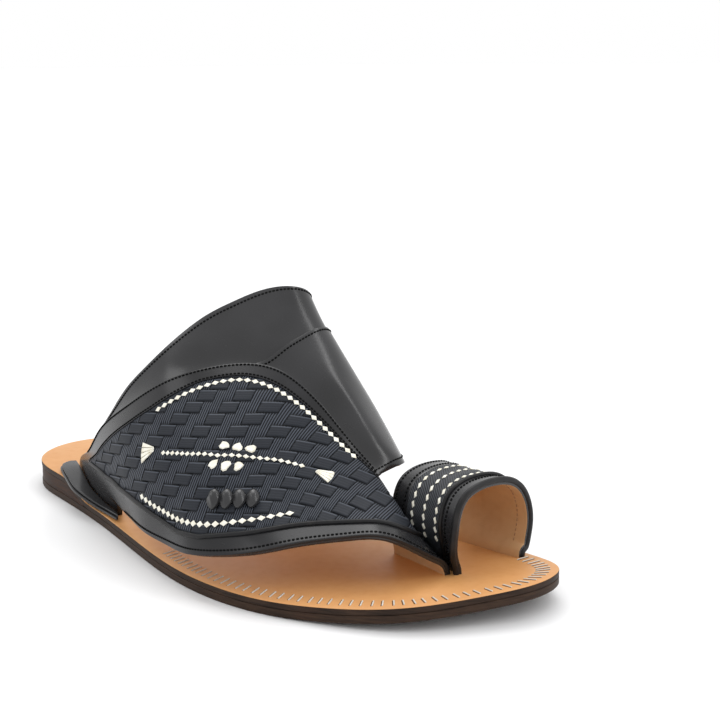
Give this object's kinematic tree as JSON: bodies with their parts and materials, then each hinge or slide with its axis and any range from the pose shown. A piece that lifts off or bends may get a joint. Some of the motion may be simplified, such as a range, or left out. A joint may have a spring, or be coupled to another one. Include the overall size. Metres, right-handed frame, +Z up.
{
  "type": "arabic sandal",
  "caption": "Toe-ring sandal for the right foot: tan leather footbed on a thin layered sole, black strap over the instep running into a woven side wing, and a ring for the big toe.",
  "frame": {"origin": "on the ground, under the middle of the sandal's bounding box", "axes": "+X from the heel to the toe, +Y towards the big-toe side, +Z up; the sandal stands on z = 0"},
  "size_m": [0.29, 0.1115, 0.1053],
  "materials": {
    "outsole_leather": "matt scuffed edge",
    "heel_leather": "waxed dark edge",
    "footbed_leather": "smooth natural tan, dark edge",
    "upper_leather": "polished black, tan lining",
    "woven_leather": "woven navy-black strips with cream motifs"
  },
  "bodies": {
    "root": {"outsole": "outsole_leather", "heel_lift": "heel_leather", "footbed": "footbed_leather", "upper": "upper_leather", "wing_weave": "woven_leather", "ring_weave": "woven_leather", "heel_tab": "upper_leather", "knot_1": "upper_leather", "knot_2": "upper_leather", "knot_3": "upper_leather", "knot_4": "upper_leather"}
  },
  "joints": []
}
